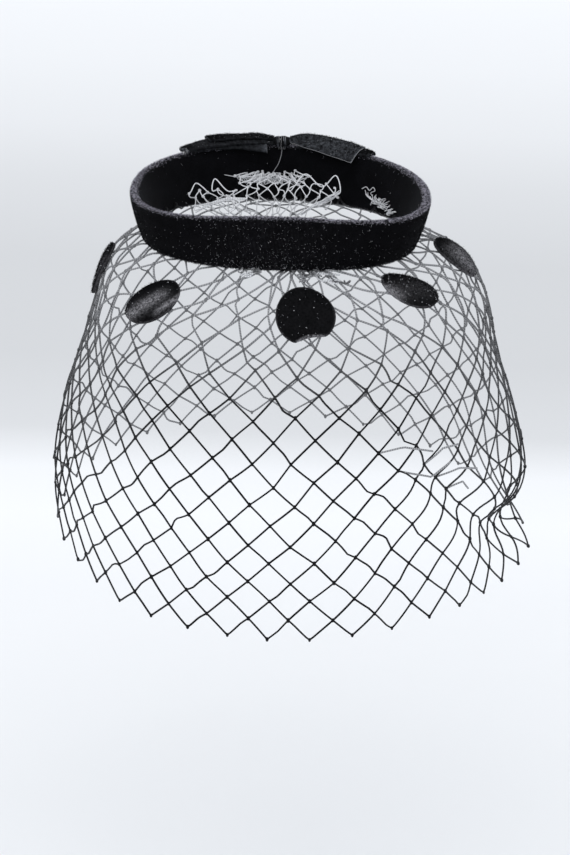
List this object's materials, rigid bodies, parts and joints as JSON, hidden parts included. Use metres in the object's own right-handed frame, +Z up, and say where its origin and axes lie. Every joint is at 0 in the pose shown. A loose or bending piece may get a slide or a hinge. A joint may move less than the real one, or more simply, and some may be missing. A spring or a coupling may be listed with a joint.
{
  "type": "circlet hat with veil",
  "caption": "Open velvet circlet hat: a flared oval band with a flat bow on its back rim, a hanging veil of coarse diamond net with velvet dots, and net over the crown.",
  "frame": {"origin": "centre of the band's lower rim, where the hat sits on the head", "axes": "+Z up, the wearer faces -Y, +X is to the right as seen from the front"},
  "size_m": [0.2579, 0.2337, 0.2181],
  "materials": {
    "velvet": "black velvet with worn grey rims",
    "net": "black twisted thread, slightly glossy",
    "dot_velvet": "black velvet with brushed grey patches",
    "ribbon": "black velvet ribbon with a pale selvedge"
  },
  "bodies": {
    "root": {"band": "velvet", "veil": "net", "crown_net": "net", "dot_front": "dot_velvet", "dot_front_left": "dot_velvet", "dot_front_right": "dot_velvet", "dot_side_left": "dot_velvet", "dot_side_right": "dot_velvet", "bow_loop_left": "ribbon", "bow_loop_right": "ribbon", "bow_tail_left": "ribbon", "bow_tail_right": "ribbon", "bow_knot": "ribbon"}
  },
  "joints": []
}
